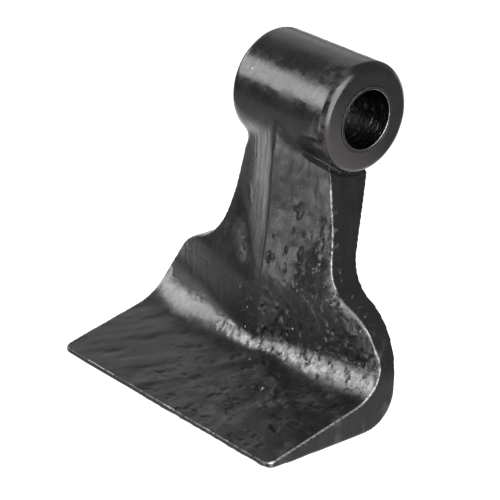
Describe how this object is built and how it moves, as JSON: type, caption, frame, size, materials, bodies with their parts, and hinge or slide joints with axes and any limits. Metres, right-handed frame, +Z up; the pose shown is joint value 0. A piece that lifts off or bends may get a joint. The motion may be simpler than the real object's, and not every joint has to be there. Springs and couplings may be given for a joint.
{
  "type": "flail hammer",
  "caption": "Forged flail mower hammer: pivot boss, tapering ridged neck and wide scoop blade, swinging on a floating pivot sleeve.",
  "frame": {"origin": "on the pivot axis, at the middle of the boss's length", "axes": "+X along the pivot axis, +Z up the neck to the boss, -Y towards the cutting edge"},
  "size_m": [0.131, 0.1025, 0.1435],
  "materials": {
    "black_forging": "semi-gloss black paint over a forged surface",
    "sleeve_steel": "darkened turned steel, bright where it has rubbed"
  },
  "bodies": {
    "sleeve": {"pivot_sleeve": "sleeve_steel"},
    "hammer": {"hammer_forging": "black_forging"}
  },
  "joints": [
    {"name": "hammer_swing", "type": "hinge", "parent": "sleeve", "child": "hammer", "pos_m": [0, 0, 0], "axis": [1, 0, 0], "continuous": true}
  ]
}
